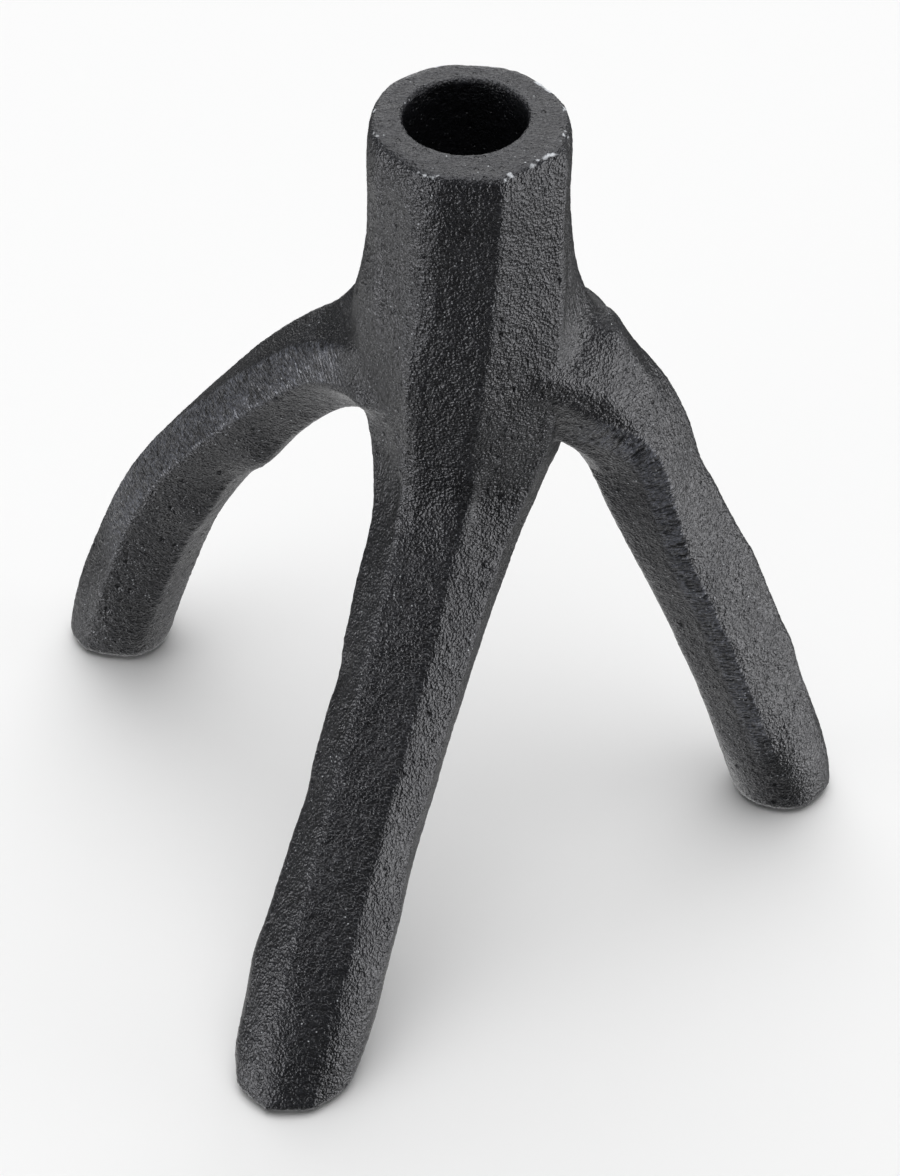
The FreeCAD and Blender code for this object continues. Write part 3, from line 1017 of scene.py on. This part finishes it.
class CANDLE_OT_casting(bpy.types.Operator):
    """Builds the neck and the three legs as one continuous casting, divided as its nodes are"""

    bl_idname = "candle.casting"
    bl_label = "Casting"

    def execute(self, context):
        settings = context.scene.candle_casting
        cad = [frame["nodes"][name].data for name in CASTING_NODES]
        socket_end = HEIGHT - SOCKET_WALL - POINT_ROOM
        over = ((0, 0, settings.shoulder_to), (0, 0, 1))
        under = ((0, 0, settings.shoulder_from), (0, 0, -1))
        below_socket = ((0, 0, socket_end), (0, 0, 1))
        crotch = filled_corners(cad, settings.crotch_fillet, settings.form_voxel)
        fillets = [cut_to(crotch, below_socket, ((SOCKET_AXIS[0] - 2 * MM, 0, 0), (1, 0, 0)))]
        plug = socket_cylinder(SOCKET_RADIUS + 0.5 * MM, socket_end + 2 * MM, HEIGHT - 0.5 * MM)
        shoulder = filled_corners(cad + [plug], settings.shoulder_fillet, settings.form_voxel)
        fillets.append(cut_to(shoulder, under, below_socket))
        for side in ((1, 0, 0), (0, 1, 0), (-1, 0, 0), (0, -1, 0)):
            beside = SOCKET_AXIS + np.array(side) * (SOCKET_RADIUS + 1.5 * MM)
            fillets.append(cut_to(shoulder, under, over, (beside, [-k for k in side])))
        whole = new_object("casting", joined(cad + fillets))
        voxel_remesh(whole, settings.voxel)
        mesh = whole.data
        points = points_of(mesh)
        limb, along, around, offset = limb_places(points)
        points = round_limbs(points, normals_of(mesh), limb, along, around, offset)
        move_points(mesh, knock(points, normals_of(mesh), limb, along, around))
        sole = points[:, 2] < SOLE_HEIGHT + 0.3 * MM
        ground, mark = ground_share(limb, along, around)
        store(mesh, "ground", ground)
        store(mesh, "along", mark)
        store(mesh, "around", around)
        store(mesh, "soften", softening_weight(points))
        store(mesh, "relief", np.where(sole, 0.0, 1.0))
        modifier = whole.modifiers.new("skin", "NODES")
        modifier.node_group = skin_tree()
        set_inputs(modifier, {
            "Softening": settings.softening, "Swell": settings.swell,
            "Lump Height": settings.lump_height, "Lump Size": settings.lump_size,
            "Grain Height": settings.grain_height, "Grain Size": settings.grain_size,
            "Pit Depth": settings.pit_depth, "Pit Spacing": settings.pit_size,
            "Groove Depth": settings.groove_depth, "Groove Spacing": settings.groove_size,
            "Material": matt_black_coat(settings)})
        bake_modifiers(whole)
        mesh = whole.data
        points = points_of(mesh)
        points[:, 2] = np.where(sole, SOLE_HEIGHT, np.maximum(points[:, 2], SOLE_HEIGHT))
        move_points(mesh, points)
        for name in ("soften", "relief"):
            mesh.attributes.remove(mesh.attributes[name])
        whole_normal = mesh.attributes.new("whole_normal", "FLOAT_VECTOR", "POINT")
        whole_normal.data.foreach_set("vector", normals_of(mesh).astype(np.float32).ravel())
        for name, part in divide(mesh).items():
            keep_normals(part)
            piece = new_object(f"cast_{name}", part)
            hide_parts(name)
            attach(piece, "root")
            print(piece.name, len(part.vertices), "points", len(part.loop_triangles), "triangles")
        bpy.data.objects.remove(whole)
        return {"FINISHED"}


class CANDLE_OT_felt_pads(bpy.types.Operator):
    """Builds the felt pad under each foot"""

    bl_idname = "candle.felt_pads"
    bl_label = "Felt pads"

    def execute(self, context):
        settings = context.scene.candle_felt
        material = black_felt(settings)
        for leg in LEGS:
            low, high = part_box(f"{leg}_foot_pad")
            centre = (low + high) / 2
            radius = (high.x - low.x) / 2
            bm = bmesh.new()
            edge = settings.edge_radius
            profile = [(0.0, low.z)]
            profile += [(radius * k / PAD_RINGS, low.z) for k in range(1, PAD_RINGS)]
            for k in range(EDGE_STEPS + 1):
                a = math.pi / 2 * k / EDGE_STEPS
                out = edge * math.sin(a)
                down = edge * math.cos(a)
                profile.append((radius - edge + out, low.z + edge - down))
            profile += [(radius, high.z), (0.0, high.z)]
            rings = []
            for r, z in profile:
                if r == 0:
                    rings.append([bm.verts.new((centre.x, centre.y, z))])
                    continue
                ring = []
                for k in range(PAD_SEGMENTS):
                    a = 2 * math.pi * k / PAD_SEGMENTS
                    x = centre.x + r * math.cos(a)
                    y = centre.y + r * math.sin(a)
                    ring.append(bm.verts.new((x, y, z)))
                rings.append(ring)
            for first, second in zip(rings, rings[1:]):
                for k in range(PAD_SEGMENTS):
                    n = (k + 1) % PAD_SEGMENTS
                    if len(first) == 1:
                        bm.faces.new((first[0], second[n], second[k]))
                    elif len(second) == 1:
                        bm.faces.new((first[k], first[n], second[0]))
                    else:
                        bm.faces.new((first[k], first[n], second[n], second[k]))
            bmesh.ops.recalc_face_normals(bm, faces=bm.faces)
            mesh = bpy.data.meshes.new(f"{leg}_felt")
            bm.to_mesh(mesh)
            bm.free()
            mesh.shade_smooth()
            mesh.materials.append(material)
            piece = new_object(f"felt_{leg}", mesh)
            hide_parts(f"{leg}_foot_pad")
            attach(piece, "root")
        return {"FINISHED"}


class CANDLE_OT_stage(bpy.types.Operator):
    """Sets out the pale floor, the soft light and the camera"""

    bl_idname = "candle.stage"
    bl_label = "Stage"

    def execute(self, context):
        settings = context.scene.candle_stage
        scene = context.scene
        mesh = bpy.data.meshes.new("floor")
        signs = ((-1, -1), (1, -1), (1, 1), (-1, 1))
        corners = [(x * FLOOR_HALF, y * FLOOR_HALF, 0) for x, y in signs]
        mesh.from_pydata(corners, [], [(0, 1, 2, 3)])
        floor = new_object("floor", mesh)
        material = bpy.data.materials.new("pale_floor")
        material.use_nodes = True
        shader = material.node_tree.nodes["Principled BSDF"]
        shader.inputs["Base Color"].default_value = (*settings.floor, 1)
        shader.inputs["Roughness"].default_value = 0.9
        shader.inputs["Specular IOR Level"].default_value = 0.0
        mesh.materials.append(material)
        floor.visible_glossy = False

        world = bpy.data.worlds.new("studio")
        scene.world = world
        world.use_nodes = True
        tree = world.node_tree
        sky = add(tree, "ShaderNodeTexCoord").outputs["Generated"]
        total = settings.fill
        for azimuth, elevation, inner, outer, strength in SOFTBOXES:
            a, e = math.radians(azimuth), math.radians(elevation)
            middle = (math.cos(a) * math.cos(e), math.sin(a) * math.cos(e), math.sin(e))
            nearness = add(tree, "ShaderNodeVectorMath", {"operation": "DOT_PRODUCT"},
                           n0=sky, n1=middle).outputs["Value"]
            box = add(tree, "ShaderNodeMapRange", {"interpolation_type": "SMOOTHSTEP"},
                      value=nearness, from_min=math.cos(math.radians(outer)),
                      from_max=math.cos(math.radians(inner)), to_min=0.0, to_max=strength).outputs[0]
            total = add(tree, "ShaderNodeMath", {"operation": "ADD"}, n0=total, n1=box).outputs[0]
        background = tree.nodes["Background"]
        tree.links.new(total, background.inputs["Strength"])
        background.inputs["Color"].default_value = (1.0, 1.0, 1.0, 1)

        data = bpy.data.cameras.new("camera")
        camera = bpy.data.objects.new("camera", data)
        scene.collection.objects.link(camera)
        camera.location = Vector(SOCKET_AXIS) + Vector(settings.camera_place)
        camera.rotation_euler = (math.pi / 2 - settings.camera_pitch, 0, 0)
        data.lens = settings.lens
        data.sensor_width = 36
        data.clip_start = 0.01
        scene.camera = camera
        scene.view_settings.view_transform = "Standard"
        return {"FINISHED"}


class CANDLE_PT_panel(bpy.types.Panel):
    bl_idname = "CANDLE_PT_panel"
    bl_label = "Candle Holder"
    bl_space_type = "VIEW_3D"
    bl_region_type = "UI"
    bl_category = "Candle Holder"

    def draw(self, context):
        for operator in OPERATORS:
            self.layout.operator(operator.bl_idname)
        for group in GROUPS:
            box = self.layout.box()
            settings = getattr(context.scene, group)
            for name in settings.bl_rna.properties.keys():
                if name not in ("rna_type", "name"):
                    box.prop(settings, name)


GROUPS = {
    "candle_casting": CastingSettings,
    "candle_felt": FeltSettings,
    "candle_stage": StageSettings,
}
OPERATORS = (CANDLE_OT_casting, CANDLE_OT_felt_pads, CANDLE_OT_stage)
CLASSES = (*GROUPS.values(), *OPERATORS, CANDLE_PT_panel)


def register():
    for cls in CLASSES:
        bpy.utils.register_class(cls)
    for name, cls in GROUPS.items():
        setattr(bpy.types.Scene, name, bpy.props.PointerProperty(type=cls))


def unregister():
    for name in GROUPS:
        delattr(bpy.types.Scene, name)
    for cls in reversed(CLASSES):
        bpy.utils.unregister_class(cls)


def main():
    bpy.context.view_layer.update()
    register()
    bpy.ops.candle.stage()
    bpy.ops.candle.casting()
    bpy.ops.candle.felt_pads()


if __name__ == "__main__":
    main()
